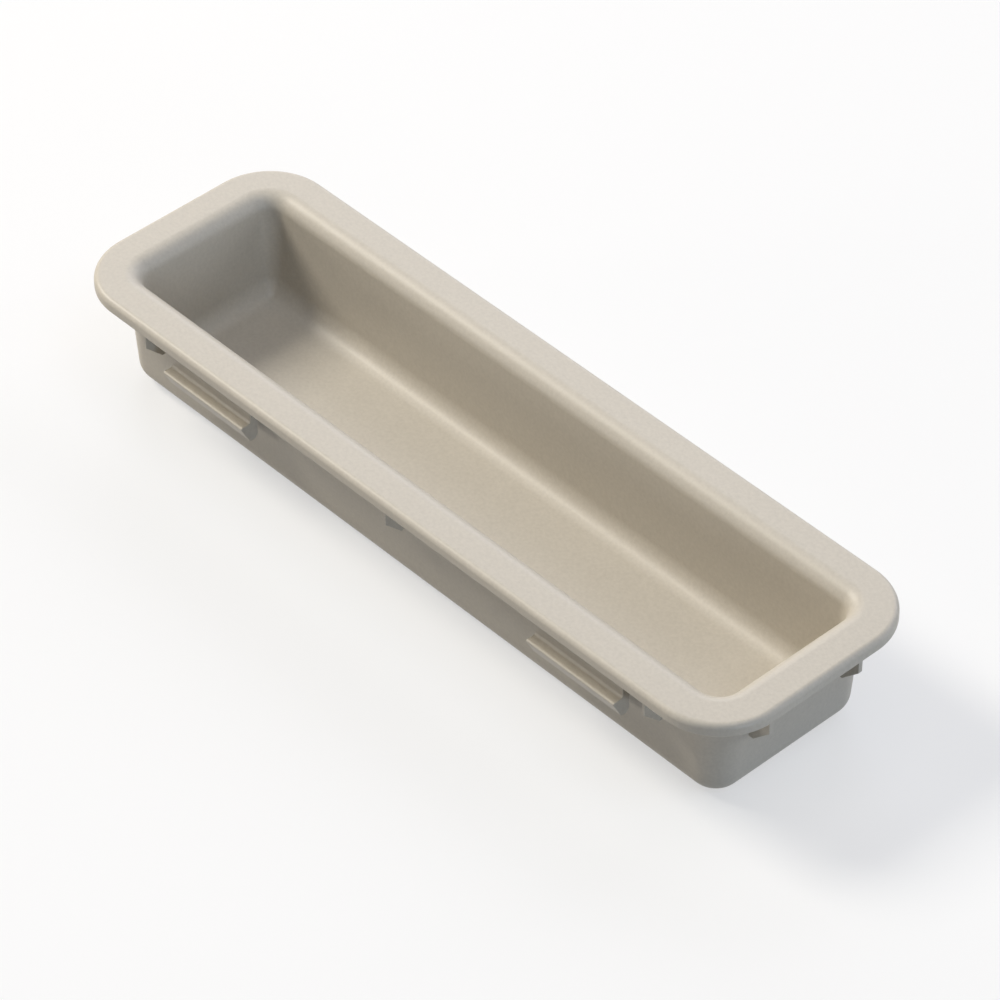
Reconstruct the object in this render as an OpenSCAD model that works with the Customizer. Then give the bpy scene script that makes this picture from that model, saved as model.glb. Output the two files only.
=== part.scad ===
// Recessed pull handle for a sunroof sunshade, moulded in one piece. A rim lies on the face
// of the shade panel around a finger cup. Ribs centre the cup in the panel's cut-out, and
// snap tongues hang from the rim and grip the panel's far face. X runs along the handle, Z is
// up, and the cup stands on its base at Z = 0. Millimetres.

/* [Rim] */
// Overall length of the rim
rim_l = 120; // [100:1:180]
// Overall width of the rim
rim_w = 36; // [34:0.5:50]
// Radius of the rim's outer corners
rim_corner_r = 9; // [8.5:0.25:11]
// Thickness of the rim's plate
rim_t = 1.9; // [1.6:0.1:2.4]
// Width of the rim's flat top, from its edge in to the lip
rim_flat_w = 4; // [3.4:0.1:4.4]
// Radius along the rim's upper outer edge
edge_top_r = 0.8; // [0.4:0.1:1.4]
// Radius along the rim's lower outer edge
edge_low_r = 0.3; // [0.1:0.05:0.5]

/* [Cup] */
// Depth of the cup, from the rim's top to its floor
cup_depth = 15.3; // [11:0.1:22]
// Thickness of the cup's walls, measured level
wall_t = 2; // [1.2:0.1:2.6]
// Thickness of the cup's floor
floor_t = 2.1; // [1.5:0.1:3.5]
// Lean of the walls away from upright, in degrees
wall_draft = 4; // [1:0.5:6]
// Radius of the lip between the rim and the cup
lip_r = 2.35; // [1.6:0.05:2.8]
// Radius between the walls and the floor, inside the cup
floor_fillet_r = 2.95; // [1:0.05:3.5]
// Radius along the base's outer edge
base_edge_r = 3; // [0.5:0.1:4]

/* [Locating ribs] */
// How far the ribs' outer edges stay inside the rim's edge
rib_inset = 1.4; // [0.8:0.1:2.4]
// How far the ribs reach below the rim's top
rib_drop = 8.1; // [6:0.1:11]
// Height of the slope that leads the ribs into the cut-out
rib_lead_h = 2.6; // [1:0.1:3.5]
// Width of that slope
rib_lead_w = 1.6; // [0.6:0.1:2.2]
// Thickness of the ribs on the long sides
side_rib_t = 0.5; // [0.4:0.1:1.2]
// Number of ribs on each long side
side_rib_count = 3; // [3:1:4]
// From the outermost of them to where the corner begins
side_rib_gap = 5; // [2:0.5:8]
// Thickness of the ribs on the ends
end_rib_t = 0.7; // [0.4:0.1:1.2]
// Number of ribs on each end
end_rib_count = 2; // [2:1:3]
// From the outermost of them to where the corner begins
end_rib_gap = 1.4; // [0.8:0.1:4]

/* [Snap tongues] */
// Length of a tongue along the handle
tongue_l = 15.3; // [8:0.1:20]
// Clear space between a tongue and the rib outside it
tongue_rib_gap = 4.1; // [2:0.1:8]
// Thickness of a tongue's stem
tongue_t = 1.15; // [0.8:0.05:1.4]
// How far a stem's outer face stays inside the rim's edge
tongue_inset = 2.3; // [1.6:0.1:2.6]
// How far a tongue reaches below the rim's top
tongue_drop = 9.3; // [8.4:0.1:12]
// Height between the rim and the barb's shoulder, which the panel fills
grip_gap = 4.45; // [3:0.05:5.2]
// How far a barb stands out from its stem
barb_out = 1.55; // [1:0.05:1.8]
// Radius of the barb's tip
tip_r = 0.3; // [0.1:0.05:0.4]
// Radius in the corner between the stem and the barb's shoulder
shoulder_r = 0.4; // [0.2:0.05:0.5]
// Radius of the round lower end of a tongue
nose_r = 0.85; // [0.5:0.05:1]

/* [Hidden] */
$fn = 64;
moulding_colour = [0.84, 0.81, 0.76];
// Length by which one shape runs into another that it is joined to or cut from
lap = 1;
total_h = cup_depth + floor_t;
rim_under_z = total_h - rim_t;
// Sections are drawn with X as the distance out from the axis of the rim's corner
straight_l = rim_l - 2 * rim_corner_r;
straight_w = rim_w - 2 * rim_corner_r;
lean = tan(wall_draft);
wall_out = [cos(wall_draft), -sin(wall_draft)];
// The lip's centre sits under the inner edge of the rim's flat
lip_c = [rim_corner_r - rim_flat_w, total_h - lip_r];
lip_touch = lip_c - lip_r * wall_out;
fillet_z = floor_t + floor_fillet_r;
fillet_c = [inner_x(fillet_z) - floor_fillet_r / cos(wall_draft), fillet_z];
fillet_touch = fillet_c + floor_fillet_r * wall_out;
base_c = [outer_x(base_edge_r) - base_edge_r / cos(wall_draft), base_edge_r];
base_touch = base_c + base_edge_r * wall_out;
// A section is drawn to past the cup's middle, and the ends take it to past the floor fillet
section_reach = straight_w / 2 + lap;
end_reach = floor_fillet_r + lap;
joint_z = total_h - rim_t / 2;
rib_x = rim_corner_r - rib_inset;
rib_foot_z = total_h - rib_drop;
side_rib_pitch = (straight_l - 2 * side_rib_gap) / (side_rib_count - 1);
end_rib_pitch = (straight_w - 2 * end_rib_gap) / (end_rib_count - 1);
stem_x = rim_corner_r - tongue_inset;
stem_inner_x = stem_x - tongue_t;
shoulder_z = rim_under_z - grip_gap;
tip_c = [stem_x + barb_out - tip_r, shoulder_z - tip_r];
nose_c = [stem_inner_x + nose_r, total_h - tongue_drop + nose_r];
// The barb's sloping face touches the rounding of its tip and of the nose
tip_from_nose = tip_c - nose_c;
slope = atan2(tip_from_nose[1], tip_from_nose[0]) + asin((nose_r - tip_r) / norm(tip_from_nose));
slope_out = [sin(slope), -cos(slope)];
tongue_x = straight_l / 2 - side_rib_gap - side_rib_t / 2 - tongue_rib_gap - tongue_l / 2;

// Inner face of the wall at height z
function inner_x(z) = lip_touch[0] + (z - lip_touch[1]) * lean;

// Outer face of the wall at height z
function outer_x(z) = inner_x(z) + wall_t;

// Place of rib i in a row that is centred on zero
function rib_place(i, count, pitch) = (i - (count - 1) / 2) * pitch;

module quarter_disc(r) {
    intersection() {
        circle(r = r);
        square(r);
    }
}

module rim_section() {
    translate([-section_reach, rim_under_z])
        square([section_reach + rim_corner_r - edge_top_r, rim_t]);
    translate([-section_reach, rim_under_z])
        square([section_reach + rim_corner_r - edge_low_r, rim_t - edge_top_r]);
    translate([-section_reach, rim_under_z + edge_low_r])
        square([section_reach + rim_corner_r, rim_t - edge_top_r - edge_low_r]);
    translate([rim_corner_r - edge_top_r, total_h - edge_top_r])
        quarter_disc(edge_top_r);
    translate([rim_corner_r - edge_low_r, rim_under_z + edge_low_r])
        mirror([0, 1])
            quarter_disc(edge_low_r);
}

module cup_section() {
    polygon([
        [-section_reach, 0],
        [base_c[0], 0],
        base_c,
        base_touch,
        [outer_x(joint_z), joint_z],
        [-section_reach, joint_z]
    ]);
    translate(base_c)
        circle(r = base_edge_r);
}

module cavity_section() {
    difference() {
        union() {
            polygon([
                [-section_reach - lap, floor_t],
                [fillet_c[0], floor_t],
                fillet_c,
                fillet_touch,
                lip_touch,
                lip_c,
                [lip_c[0], total_h + lap],
                [-section_reach - lap, total_h + lap]
            ]);
            translate(fillet_c)
                circle(r = floor_fillet_r);
        }
        translate(lip_c)
            circle(r = lip_r);
    }
}

// Section through rim, wall and floor, cut off at reach inside the corner's axis
module wall_section(reach) {
    intersection() {
        difference() {
            union() {
                rim_section();
                cup_section();
            }
            cavity_section();
        }
        translate([-reach, 0])
            square([reach + rim_corner_r, total_h]);
    }
}

module long_walls() {
    translate([-straight_l / 2, 0, 0])
        rotate([90, 0, 90])
            linear_extrude(straight_l)
                for (side = [0, 1])
                    mirror([side, 0])
                        translate([straight_w / 2, 0])
                            wall_section(section_reach);
}

module end_walls() {
    for (side = [0, 1])
        mirror([side, 0, 0])
            translate([straight_l / 2, straight_w / 2, 0])
                rotate([90, 0, 0])
                    linear_extrude(straight_w)
                        wall_section(end_reach);
}

module corner_walls() {
    for (side_x = [0, 1])
        for (side_y = [0, 1])
            mirror([side_x, 0, 0])
                mirror([0, side_y, 0])
                    translate([straight_l / 2, straight_w / 2, 0])
                        rotate_extrude(angle = 90)
                            wall_section(0);
}

// Ribs run from inside the rim's plate down the outside of the wall to a level foot
module rib_section() {
    polygon([
        [inner_x(joint_z) + wall_t / 2, joint_z],
        [rib_x, joint_z],
        [rib_x, rib_foot_z + rib_lead_h],
        [rib_x - rib_lead_w, rib_foot_z],
        [inner_x(rib_foot_z) + wall_t / 2, rib_foot_z]
    ]);
}

module side_ribs() {
    for (side = [0, 1])
        mirror([0, side, 0])
            for (i = [0 : side_rib_count - 1])
                translate([rib_place(i, side_rib_count, side_rib_pitch) - side_rib_t / 2, straight_w / 2, 0])
                    rotate([90, 0, 90])
                        linear_extrude(side_rib_t)
                            rib_section();
}

module end_ribs() {
    for (side = [0, 1])
        mirror([side, 0, 0])
            for (i = [0 : end_rib_count - 1])
                translate([straight_l / 2, rib_place(i, end_rib_count, end_rib_pitch) + end_rib_t / 2, 0])
                    rotate([90, 0, 0])
                        linear_extrude(end_rib_t)
                            rib_section();
}

module tongue_section() {
    polygon([
        [stem_inner_x, joint_z],
        [stem_x, joint_z],
        [stem_x, shoulder_z],
        [tip_c[0], shoulder_z],
        tip_c + tip_r * slope_out,
        nose_c + nose_r * slope_out,
        nose_c,
        [stem_inner_x, nose_c[1]]
    ]);
    translate(tip_c)
        circle(r = tip_r);
    translate(nose_c)
        circle(r = nose_r);
    difference() {
        translate([stem_x - shoulder_r, shoulder_z - shoulder_r])
            square(2 * shoulder_r);
        translate([stem_x + shoulder_r, shoulder_z + shoulder_r])
            circle(r = shoulder_r);
    }
}

module snap_tongues() {
    for (side_x = [0, 1])
        for (side_y = [0, 1])
            mirror([side_x, 0, 0])
                mirror([0, side_y, 0])
                    translate([tongue_x - tongue_l / 2, straight_w / 2, 0])
                        rotate([90, 0, 90])
                            linear_extrude(tongue_l)
                                tongue_section();
}

module pull_handle() {
    color(moulding_colour)
        union() {
            long_walls();
            end_walls();
            corner_walls();
            side_ribs();
            end_ribs();
            snap_tongues();
        }
}

pull_handle();
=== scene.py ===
"""Recessed pull handle of a sunroof shade, moulded in one piece of beige plastic."""
import math

import bpy
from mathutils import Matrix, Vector


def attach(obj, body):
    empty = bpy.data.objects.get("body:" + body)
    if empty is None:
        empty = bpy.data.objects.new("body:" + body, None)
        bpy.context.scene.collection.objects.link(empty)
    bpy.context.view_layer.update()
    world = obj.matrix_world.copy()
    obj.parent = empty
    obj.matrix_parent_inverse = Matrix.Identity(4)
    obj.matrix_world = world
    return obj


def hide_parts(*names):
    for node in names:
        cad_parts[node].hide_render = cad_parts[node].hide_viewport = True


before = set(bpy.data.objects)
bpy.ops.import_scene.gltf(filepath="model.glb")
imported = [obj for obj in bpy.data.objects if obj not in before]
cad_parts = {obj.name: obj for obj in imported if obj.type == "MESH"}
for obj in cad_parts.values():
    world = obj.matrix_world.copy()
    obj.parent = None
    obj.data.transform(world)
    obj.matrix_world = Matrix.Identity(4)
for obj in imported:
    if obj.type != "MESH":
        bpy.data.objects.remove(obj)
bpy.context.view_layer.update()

# A millimetre in metres. The handle's sizes below are in millimetres.
MM = 0.001

# Rim
RIM_L = 120
RIM_W = 36
RIM_CORNER_R = 9
RIM_T = 1.9
RIM_FLAT_W = 4
EDGE_TOP_R = 0.8
EDGE_LOW_R = 0.3

# Cup
CUP_DEPTH = 15.3
WALL_T = 2
FLOOR_T = 2.1
WALL_DRAFT = math.radians(4)
LIP_R = 2.35
FLOOR_FILLET_R = 2.95
BASE_EDGE_R = 3
# Small radius where the wall meets the rim's underside
ROOT_R = 0.4

# Locating ribs
RIB_INSET = 1.4
RIB_DROP = 8.1
RIB_LEAD_H = 2.6
RIB_LEAD_W = 1.6
SIDE_RIB_T = 0.5
SIDE_RIB_X = 46
END_RIB_T = 0.7
END_RIB_Y = 7.6

# Snap tongues
TONGUE_L = 15.3
TONGUE_X = 34
TONGUE_T = 1.15
TONGUE_INSET = 2.3
TONGUE_DROP = 9.3
GRIP_GAP = 4.45
BARB_OUT = 1.55
TIP_R = 0.3
SHOULDER_R = 0.4
NOSE_R = 0.85
TONGUE_END_R = 0.07

TOP = CUP_DEPTH + FLOOR_T
UNDER = TOP - RIM_T
CORNER_X = RIM_L / 2 - RIM_CORNER_R
CORNER_Y = RIM_W / 2 - RIM_CORNER_R

# Number of steps in each rounding
CORNER_STEPS = 20
EDGE_STEPS = 10
LIP_STEPS = 14
FILLET_STEPS = 12
RUN_OUT_STEPS = 4
BASE_STEPS = 14
SMALL_STEPS = 5
NOSE_STEPS = 6
HEEL_STEPS = 8
FINE_STEPS = 2

# Slack when places are compared. Bevels give up half of it, so that two of them don't meet.
NEAR = 0.01
# A face counts as level where its normal's upright share is more than this
LEVEL = 0.9
# Where the insets' corners run together, points closer than this become one
MERGE_GAP = 0.3
# The ribs begin this far outside the wall's inner face, so they end within the wall
RIB_ROOT = 1.25
RIB_EDGE_R = 0.1
SMOOTH_ANGLE = 35

# Finish of the moulding
GRAIN_SIZE = 0.45
GRAIN_DEPTH = 0.03
GRAIN_STRENGTH = 0.5
FLOW_SIZE = 18
PLASTIC_DARK = "#B8B1A4"
PLASTIC_LIGHT = "#CAC3B6"
FLOW_TONE = "#FAFAFA"
GLOSSIEST = 0.44
DRIEST = 0.52
ABS_IOR = 1.57

# Share of light that the floor gives back, the grey it shows itself in, and how far that is
# taken towards plain white
FLOOR_GIVEN = 0.35
FLOOR_SHOWN = 0.88
FLOOR_WHITE = 0.55
# Side of the floor in metres
FLOOR_SIDE = 6

# Sockets of the mixing nodes for colours and for shaders, which share their names with others
MIX_FACTOR = 0
MIX_A = 6
MIX_B = 7
MIX_RESULT = 2
SHADER_A = 1
SHADER_B = 2

# The lamps: name, azimuth and elevation in degrees, size in metres, power in watts, colour.
# The key comes from the left end and draws the bright lines of lip and floor edge. The cooler
# ones behind and at the right fill the ends, and the low ones reach under the rim. All stand
# equally far from the handle, in metres.
LIGHT_DISTANCE = 1.5
LAMPS = (
    ("key", 200, 41, 0.5, 19.4, "#FFF9ED"),
    ("overhead", 0, 90, 1.2, 4.9, "#FFF6EE"),
    ("back", 90, 30, 0.8, 4.6, "#F4F4FF"),
    ("back_left", 135, 30, 0.8, 6, "#ECF0FF"),
    ("back_right", 45, 18, 0.8, 4, "#F0F6FF"),
    ("right_high", 0, 58, 0.7, 3.2, "#C4DEFF"),
    ("front_low", 235, 6, 0.3, 3.3, "#FFF8F0"),
    ("right_low", 350, 6, 0.3, 4.8, "#D8EAFF"),
)

# The camera's place in metres, its turn in degrees, and its sensor and lens in millimetres
CAMERA_PLACE = (0.35543, -0.32848, 0.44515)
CAMERA_TURN = (47.761, 0, 46.996)
CAMERA_SENSOR = 36
CAMERA_LENS = 186.15


def inner_u(z):
    """The wall's inner face at height z, as a distance out from the corner's axis."""
    lip_centre = (RIM_CORNER_R - RIM_FLAT_W, TOP - LIP_R)
    touch_u = lip_centre[0] - LIP_R / math.cos(WALL_DRAFT)
    return touch_u + (z - lip_centre[1]) * math.tan(WALL_DRAFT)


def arc(centre, radius, start, end, steps):
    """Points of an arc in the wall's section, after its first point; angles in degrees."""
    points = []
    for i in range(1, steps + 1):
        angle = math.radians(start + (end - start) * i / steps)
        points.append((centre[0] + radius * math.cos(angle), centre[1] + radius * math.sin(angle)))
    return points


def deselect():
    """Leaves nothing selected, so the next piece is worked on alone."""
    if bpy.context.mode != "OBJECT":
        bpy.ops.object.mode_set(mode="OBJECT")
    bpy.ops.object.select_all(action="DESELECT")


def add_block(name, low, high):
    """A block from one corner to the other, in millimetres, open for editing."""
    deselect()
    middle = [(a + b) / 2 * MM for a, b in zip(low, high)]
    size = [(b - a) * MM for a, b in zip(low, high)]
    bpy.ops.mesh.primitive_cube_add(size=1, location=middle, scale=size)
    block = bpy.context.object
    block.name = name
    bpy.ops.object.transform_apply(location=True, rotation=True, scale=True)
    bpy.ops.object.mode_set(mode="EDIT")
    return block


def pick(piece, kind, test):
    """Selects only the faces, edges or vertices whose middle, in millimetres, passes the test."""
    bpy.ops.mesh.select_mode(type=kind)
    bpy.ops.mesh.select_all(action="DESELECT")
    bpy.ops.object.mode_set(mode="OBJECT")
    mesh = piece.data
    if kind == "FACE":
        for face in mesh.polygons:
            face.select = test(face.center / MM, face.normal)
    elif kind == "EDGE":
        for edge in mesh.edges:
            ends = [mesh.vertices[i].co / MM for i in edge.vertices]
            edge.select = test(ends[0], ends[1])
    else:
        for vertex in mesh.vertices:
            vertex.select = test(vertex.co / MM)
    bpy.ops.object.mode_set(mode="EDIT")


def step_face(points, rise):
    """Carries the selected level face along the section's points with one inset for each."""
    for (u0, z0), (u1, z1) in zip(points, points[1:]):
        bpy.ops.mesh.inset(
            thickness=(u0 - u1) * MM, depth=(z1 - z0) * rise * MM, use_even_offset=True
        )


def shell_top_section():
    """Points from the rim's side over the lip and down the wall to under the corner's axis.

    The rest of the floor edge, from there to the floor, comes as a second list.
    """
    draft = math.degrees(WALL_DRAFT)
    lip_centre = (RIM_CORNER_R - RIM_FLAT_W, TOP - LIP_R)
    fillet_z = FLOOR_T + FLOOR_FILLET_R
    fillet_centre = (inner_u(fillet_z) - FLOOR_FILLET_R / math.cos(WALL_DRAFT), fillet_z)
    axis_angle = -math.degrees(math.acos(-fillet_centre[0] / FLOOR_FILLET_R))
    points = [(RIM_CORNER_R, TOP - EDGE_TOP_R)]
    edge_centre = (RIM_CORNER_R - EDGE_TOP_R, TOP - EDGE_TOP_R)
    points += arc(edge_centre, EDGE_TOP_R, 0, 90, EDGE_STEPS)
    points.append((lip_centre[0], TOP))
    points += arc(lip_centre, LIP_R, 90, 180 - draft, LIP_STEPS)
    points += arc(fillet_centre, FLOOR_FILLET_R, -draft, -draft, 1)
    points += arc(fillet_centre, FLOOR_FILLET_R, -draft, axis_angle, FILLET_STEPS)
    run_out = [points[-1]]
    run_out += arc(fillet_centre, FLOOR_FILLET_R, axis_angle, -90, RUN_OUT_STEPS)
    return points, run_out


def shell_under_section():
    """Points from the rim's side under the rim, down the wall and round the base edge."""
    draft = math.degrees(WALL_DRAFT)
    root_z = UNDER - ROOT_R
    root_centre = (inner_u(root_z) + WALL_T + ROOT_R / math.cos(WALL_DRAFT), root_z)
    base_u = inner_u(BASE_EDGE_R) + WALL_T - BASE_EDGE_R / math.cos(WALL_DRAFT)
    base_centre = (base_u, BASE_EDGE_R)
    edge_centre = (RIM_CORNER_R - EDGE_LOW_R, UNDER + EDGE_LOW_R)
    points = [(RIM_CORNER_R, UNDER + EDGE_LOW_R)]
    points += arc(edge_centre, EDGE_LOW_R, 0, -90, SMALL_STEPS)
    points.append((root_centre[0], UNDER))
    points += arc(root_centre, ROOT_R, 90, 180 - draft, SMALL_STEPS)
    points += arc(base_centre, BASE_EDGE_R, -draft, -draft, 1)
    points += arc(base_centre, BASE_EDGE_R, -draft, -90, BASE_STEPS)
    return points


def add_shell():
    """Rim and cup: a low block is the rim's side, and insets carry its two faces inwards."""
    low = (-RIM_L / 2, -RIM_W / 2, UNDER + EDGE_LOW_R)
    high = (RIM_L / 2, RIM_W / 2, TOP - EDGE_TOP_R)
    shell = add_block("shell", low, high)
    pick(shell, "EDGE", lambda a, b: abs(a.z - b.z) > NEAR)
    bpy.ops.mesh.bevel(offset=RIM_CORNER_R * MM, segments=CORNER_STEPS, profile=0.5)
    along_wall, run_out = shell_top_section()
    pick(shell, "FACE", lambda c, n: n.z > LEVEL)
    step_face(along_wall, 1)
    bpy.ops.mesh.select_mode(type="VERT")
    bpy.ops.mesh.remove_doubles(threshold=MERGE_GAP * MM)
    # Of the level faces only the floor's has its middle near the handle's own
    middle = 4
    pick(shell, "FACE", lambda c, n: n.z > LEVEL and c.length < middle)
    step_face(run_out, 1)
    pick(shell, "FACE", lambda c, n: n.z < -LEVEL)
    step_face(shell_under_section(), -1)
    soften_floor_corners(shell)
    return shell


def soften_floor_corners(shell):
    """Runs the floor edge's radius smoothly round the cup's four lower corners."""
    reach = 2
    height = 2.2
    for normal, side in (((1, 0, 0), CORNER_X - reach), ((0, 1, 0), CORNER_Y - reach)):
        for sign in (1, -1):
            bpy.ops.mesh.select_all(action="SELECT")
            place = [n * side * sign * MM for n in normal]
            bpy.ops.mesh.bisect(plane_co=place, plane_no=normal)
    pick(
        shell,
        "VERT",
        lambda p: abs(p.x) > CORNER_X - reach + NEAR
        and abs(p.y) > CORNER_Y - reach + NEAR
        and FLOOR_T - NEAR < p.z < FLOOR_T + height
        and abs(p.x) < CORNER_X + inner_u(p.z) + NEAR
        and abs(p.y) < CORNER_Y + inner_u(p.z) + NEAR,
    )
    bpy.ops.mesh.vertices_smooth(factor=0.5, repeat=6)


def finish_edges(offset, steps):
    """Rounds the selected edges, or with whole faces selected all of theirs."""
    bpy.ops.mesh.bevel(offset=offset * MM, segments=steps, profile=0.5, clamp_overlap=True)


def add_side_rib():
    """Thin upright plate on the near long side, with a slope that leads it into the cut-out."""
    outer = RIM_W / 2 - RIB_INSET
    foot = TOP - RIB_DROP
    inner = CORNER_Y + inner_u(foot) + RIB_ROOT
    low = (SIDE_RIB_X - SIDE_RIB_T / 2, -outer, foot)
    high = (SIDE_RIB_X + SIDE_RIB_T / 2, -inner, TOP - RIM_T / 2)
    rib = add_block("side_rib", low, high)
    cut_lead((0, -outer * MM, (foot + RIB_LEAD_H) * MM), (0, -RIB_LEAD_H, -RIB_LEAD_W))
    bpy.ops.mesh.select_all(action="SELECT")
    finish_edges(RIB_EDGE_R, FINE_STEPS)
    return rib


def add_end_rib():
    """Thin upright plate on the near end, with the same slope."""
    outer = RIM_L / 2 - RIB_INSET
    foot = TOP - RIB_DROP
    inner = CORNER_X + inner_u(foot) + RIB_ROOT
    low = (inner, -END_RIB_Y - END_RIB_T / 2, foot)
    high = (outer, -END_RIB_Y + END_RIB_T / 2, TOP - RIM_T / 2)
    rib = add_block("end_rib", low, high)
    cut_lead((outer * MM, 0, (foot + RIB_LEAD_H) * MM), (RIB_LEAD_H, 0, -RIB_LEAD_W))
    bpy.ops.mesh.select_all(action="SELECT")
    finish_edges(RIB_EDGE_R, FINE_STEPS)
    return rib


def cut_lead(place, normal):
    """Cuts off what lies outside a sloping plane and closes the cut."""
    bpy.ops.mesh.select_all(action="SELECT")
    bpy.ops.mesh.bisect(plane_co=place, plane_no=normal, use_fill=True, clear_outer=True)


def add_tongue():
    """Snap tongue on the near long side: its head is cut from a block and its stem drawn up."""
    stem = RIM_W / 2 - TONGUE_INSET
    inner = stem - TONGUE_T
    shoulder = UNDER - GRIP_GAP
    foot = TOP - TONGUE_DROP
    tip = (stem + BARB_OUT - TIP_R, shoulder - TIP_R)
    nose = (inner + NOSE_R, foot + NOSE_R)
    # The barb's slope touches the rounding of its tip and of its nose
    run = tip[0] - nose[0]
    rise = tip[1] - nose[1]
    slope = math.atan2(rise, run) + math.asin((NOSE_R - TIP_R) / math.hypot(run, rise))
    tip_cut = TIP_R / math.tan(slope / 2)
    nose_cut = NOSE_R * math.tan(slope / 2)
    corner = tip[0] + tip_cut
    low = (TONGUE_X - TONGUE_L / 2, -corner, foot)
    high = (TONGUE_X + TONGUE_L / 2, -inner, shoulder)
    tongue = add_block("tongue", low, high)
    cut_lead((0, -corner * MM, shoulder * MM), (0, -math.sin(slope), -math.cos(slope)))
    pick(tongue, "FACE", lambda c, n: n.z > LEVEL)
    bpy.ops.mesh.bisect(plane_co=(0, -stem * MM, 0), plane_no=(0, 1, 0))
    pick(tongue, "FACE", lambda c, n: n.z > LEVEL and c.y > -stem)
    to_rim = TOP - RIM_T / 2 - shoulder
    bpy.ops.mesh.extrude_region_move(TRANSFORM_OT_translate={"value": (0, 0, to_rim * MM)})
    bpy.ops.mesh.select_all(action="SELECT")
    bpy.ops.mesh.remove_doubles(threshold=0.001 * MM)
    bpy.ops.mesh.dissolve_limited(angle_limit=math.radians(1))

    def along(y, z):
        """Tells whether an edge runs along the tongue at y and z."""
        return lambda a, b: abs(a.x - b.x) > 1 and abs(a.y - y) < NEAR and abs(a.z - z) < NEAR

    pick(tongue, "EDGE", along(-corner, shoulder))
    finish_edges(tip_cut, SMALL_STEPS)
    pick(tongue, "EDGE", along(-stem, shoulder))
    finish_edges(SHOULDER_R, SMALL_STEPS)
    pick(tongue, "EDGE", along(-nose[0] - nose_cut, foot))
    finish_edges(nose_cut - NEAR / 2, NOSE_STEPS)
    pick(tongue, "EDGE", along(-inner, foot))
    finish_edges(NOSE_R - NEAR / 2, HEEL_STEPS)
    for end in (low[0], high[0]):
        pick(tongue, "EDGE", lambda a, b: abs(a.x - end) < NEAR and abs(b.x - end) < NEAR)
        finish_edges(TONGUE_END_R, FINE_STEPS)
    return tongue


def copy_piece(piece, move=(0, 0, 0), half_turn=False):
    """A copy with its own mesh, moved, or turned half round the handle's middle."""
    deselect()
    piece.select_set(True)
    bpy.context.view_layer.objects.active = piece
    bpy.ops.object.duplicate(linked=False)
    if half_turn:
        bpy.ops.transform.rotate(value=math.pi, orient_axis="Z", center_override=(0, 0, 0))
    bpy.ops.transform.translate(value=[m * MM for m in move])
    copy = bpy.context.object
    bpy.ops.object.transform_apply(location=True, rotation=True, scale=True)
    return copy


def join(pieces):
    """Makes one piece of several, under the first one's name."""
    deselect()
    for piece in pieces:
        piece.select_set(True)
    bpy.context.view_layer.objects.active = pieces[0]
    bpy.ops.object.join()
    return bpy.context.object


def apply_modifier(piece, kind, **settings):
    """Adds a modifier, sets it and applies it."""
    deselect()
    piece.select_set(True)
    bpy.context.view_layer.objects.active = piece
    bpy.ops.object.modifier_add(type=kind)
    modifier = piece.modifiers[-1]
    for key, value in settings.items():
        setattr(modifier, key, value)
    bpy.ops.object.modifier_apply(modifier=modifier.name)


def add_handle():
    """The whole moulding: shell, ribs and tongues made one closed surface."""
    side_rib = add_side_rib()
    end_rib = add_end_rib()
    tongue = add_tongue()
    pieces = [side_rib, end_rib, tongue]
    pieces.append(copy_piece(side_rib, (-SIDE_RIB_X, 0, 0)))
    pieces.append(copy_piece(side_rib, (-2 * SIDE_RIB_X, 0, 0)))
    pieces.append(copy_piece(end_rib, (0, 2 * END_RIB_Y, 0)))
    pieces.append(copy_piece(tongue, (-2 * TONGUE_X, 0, 0)))
    near_half = join(pieces)
    fixings = join([near_half, copy_piece(near_half, half_turn=True)])
    handle = add_shell()
    deselect()
    apply_modifier(handle, "BOOLEAN", operation="UNION", object=fixings, solver="EXACT")
    bpy.data.objects.remove(fixings)
    handle.name = "handle"
    deselect()
    handle.select_set(True)
    bpy.context.view_layer.objects.active = handle
    bpy.ops.object.shade_smooth_by_angle(angle=math.radians(SMOOTH_ANGLE))
    apply_modifier(handle, "WEIGHTED_NORMAL", keep_sharp=True)
    return handle


def linear(code):
    """An sRGB hex colour as linear red, green, blue and alpha."""
    parts = [int(code[i : i + 2], 16) / 255 for i in (1, 3, 5)]
    return [p / 12.92 if p <= 0.04045 else ((p + 0.055) / 1.055) ** 2.4 for p in parts] + [1]


def add_node(tree, kind, settings=None, inputs=None, links=None):
    """One node with its settings, its inputs' values and its links from other nodes' outputs."""
    node = tree.nodes.new(kind)
    for key, value in (settings or {}).items():
        setattr(node, key, value)
    for key, value in (inputs or {}).items():
        node.inputs[key].default_value = value
    for key, source in (links or {}).items():
        tree.links.new(source, node.inputs[key])
    return node


def new_material(name):
    """An empty material and its node tree."""
    material = bpy.data.materials.new(name)
    material.use_nodes = True
    material.node_tree.nodes.clear()
    return material, material.node_tree


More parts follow.
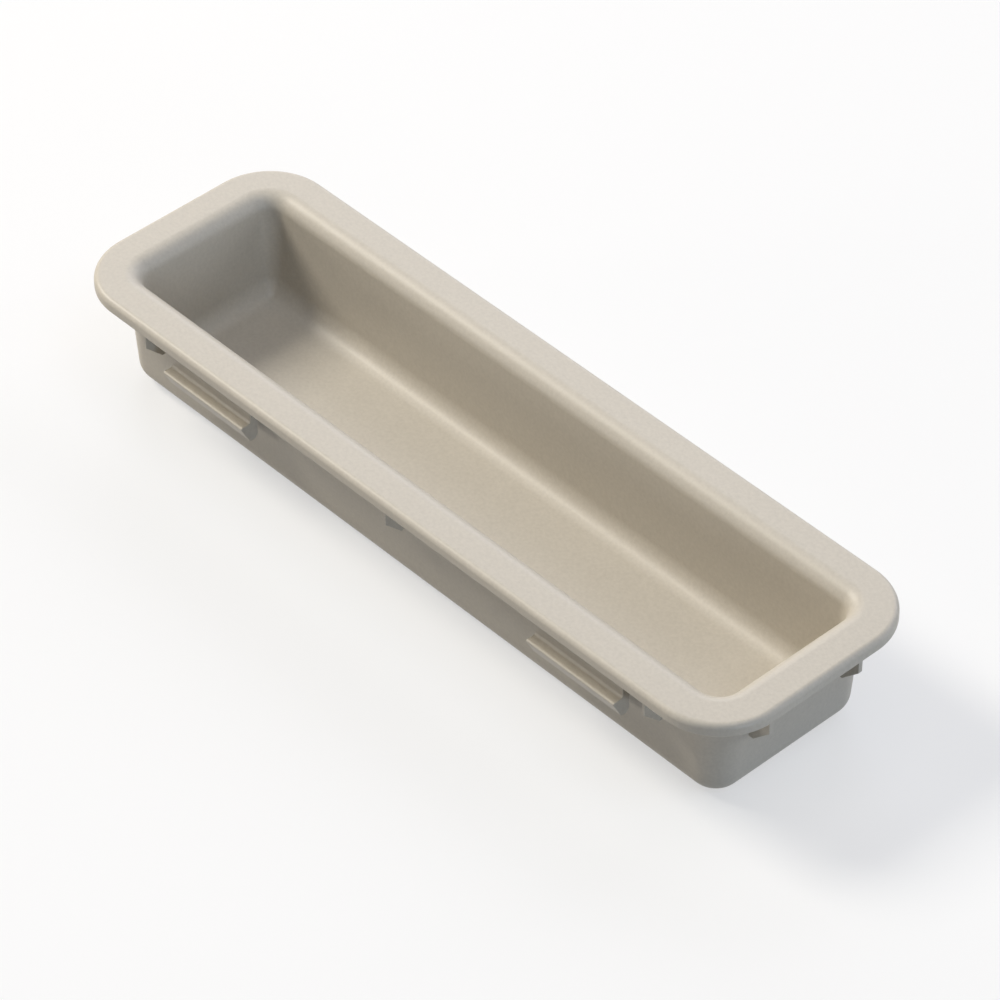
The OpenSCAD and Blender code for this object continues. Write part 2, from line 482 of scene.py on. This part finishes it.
def moulded_abs():
    """ABS from a spark-eroded mould: satin and dry, its gleam broken up by a fine even grain."""
    material, tree = new_material("moulded_abs_spark_eroded")
    place = add_node(tree, "ShaderNodeTexCoord").outputs["Object"]
    # Spark erosion leaves pits near 0.1 mm across. They are drawn 0.45 mm across, because finer
    # ones would fall between the picture's points.
    pits = add_node(
        tree,
        "ShaderNodeTexNoise",
        inputs={"Scale": 1 / (GRAIN_SIZE * MM), "Detail": 1.5, "Roughness": 0.5},
        links={"Vector": place},
    ).outputs[0]
    # Slow, faint changes of tone from the melt's flow, nearly as wide as the cup
    flow = add_node(
        tree,
        "ShaderNodeTexNoise",
        inputs={"Scale": 1 / (FLOW_SIZE * MM), "Detail": 1.0},
        links={"Vector": place},
    ).outputs[0]
    speckle = add_node(
        tree,
        "ShaderNodeMix",
        {"data_type": "RGBA"},
        inputs={MIX_A: linear(PLASTIC_DARK), MIX_B: linear(PLASTIC_LIGHT)},
        links={MIX_FACTOR: pits},
    ).outputs[MIX_RESULT]
    colour = add_node(
        tree,
        "ShaderNodeMix",
        {"data_type": "RGBA", "blend_type": "MULTIPLY"},
        inputs={MIX_B: linear(FLOW_TONE)},
        links={MIX_FACTOR: flow, MIX_A: speckle},
    ).outputs[MIX_RESULT]
    dryness = add_node(
        tree,
        "ShaderNodeMapRange",
        inputs={"From Min": 0.3, "From Max": 0.7, "To Min": GLOSSIEST, "To Max": DRIEST},
        links={"Value": pits},
    ).outputs[0]
    grain = add_node(
        tree,
        "ShaderNodeBump",
        inputs={"Strength": GRAIN_STRENGTH, "Distance": GRAIN_DEPTH * MM},
        links={"Height": pits},
    ).outputs[0]
    shader = add_node(
        tree,
        "ShaderNodeBsdfPrincipled",
        inputs={"IOR": ABS_IOR},
        links={"Base Color": colour, "Roughness": dryness, "Normal": grain},
    )
    add_node(tree, "ShaderNodeOutputMaterial", links={"Surface": shader.outputs["BSDF"]})
    return material


def seen_directly(tree):
    """1 for rays that come from the camera, a gleam or a see-through part, 0 for the light's."""
    rays = add_node(tree, "ShaderNodeLightPath").outputs
    mirrored = add_node(
        tree,
        "ShaderNodeMath",
        {"operation": "MAXIMUM"},
        links={0: rays["Is Camera Ray"], 1: rays["Is Glossy Ray"]},
    )
    direct = add_node(
        tree,
        "ShaderNodeMath",
        {"operation": "MAXIMUM"},
        links={0: mirrored.outputs[0], 1: rays["Is Transmission Ray"]},
    )
    return direct.outputs[0]


def add_floor():
    """White paper sweep: it gives light back dimly and looks near white, and keeps the shadow."""
    deselect()
    bpy.ops.mesh.primitive_plane_add(size=FLOOR_SIDE, location=(0, 0, 0))
    floor = bpy.context.object
    floor.name = "floor"
    material, tree = new_material("white_paper_sweep")
    grey = [FLOOR_GIVEN] * 3 + [1]
    pale = [FLOOR_SHOWN] * 3 + [1]
    given = add_node(tree, "ShaderNodeBsdfDiffuse", inputs={"Color": grey})
    paper = add_node(tree, "ShaderNodeBsdfDiffuse", inputs={"Color": pale})
    white = add_node(tree, "ShaderNodeEmission", inputs={"Strength": 1.0})
    shown = add_node(
        tree,
        "ShaderNodeMixShader",
        inputs={MIX_FACTOR: FLOOR_WHITE},
        links={SHADER_A: paper.outputs[0], SHADER_B: white.outputs[0]},
    )
    surface = add_node(
        tree,
        "ShaderNodeMixShader",
        links={
            MIX_FACTOR: seen_directly(tree),
            SHADER_A: given.outputs[0],
            SHADER_B: shown.outputs[0],
        },
    )
    add_node(tree, "ShaderNodeOutputMaterial", links={"Surface": surface.outputs[0]})
    floor.data.materials.append(material)
    return floor


def add_light(name, azimuth, elevation, size, power, colour):
    """A square soft lamp that faces the handle; the azimuth runs from X towards Y."""
    deselect()
    turn = math.radians(azimuth)
    rise = math.radians(elevation)
    level = math.cos(rise)
    away = Vector((level * math.cos(turn), level * math.sin(turn), math.sin(rise)))
    angles = away.to_track_quat("Z", "Y").to_euler()
    bpy.ops.object.light_add(type="AREA", location=away * LIGHT_DISTANCE, rotation=angles)
    light = bpy.context.object
    light.name = name
    light.data.size = size
    light.data.energy = power
    light.data.color = linear(colour)[:3]


def add_world():
    """White wherever it is looked at or mirrored; the lamps alone give the light."""
    world = bpy.data.worlds.new("studio")
    bpy.context.scene.world = world
    world.use_nodes = True
    tree = world.node_tree
    tree.nodes.clear()
    sky = add_node(
        tree,
        "ShaderNodeBackground",
        inputs={"Color": (1, 1, 1, 1)},
        links={"Strength": seen_directly(tree)},
    )
    add_node(tree, "ShaderNodeOutputWorld", links={"Surface": sky.outputs["Background"]})


def add_camera():
    """Long lens, from above the near right corner, as in the photograph."""
    deselect()
    turn = [math.radians(angle) for angle in CAMERA_TURN]
    bpy.ops.object.camera_add(location=CAMERA_PLACE, rotation=turn)
    camera = bpy.context.object
    camera.data.sensor_width = CAMERA_SENSOR
    camera.data.lens = CAMERA_LENS
    bpy.context.scene.camera = camera


add_camera()
add_world()
for lamp in LAMPS:
    add_light(*lamp)
handle = add_handle()
handle.data.materials.clear()
handle.data.materials.append(moulded_abs())
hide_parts("pull_handle")
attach(handle, "root")
add_floor()

bpy.context.scene.view_settings.view_transform = "Standard"
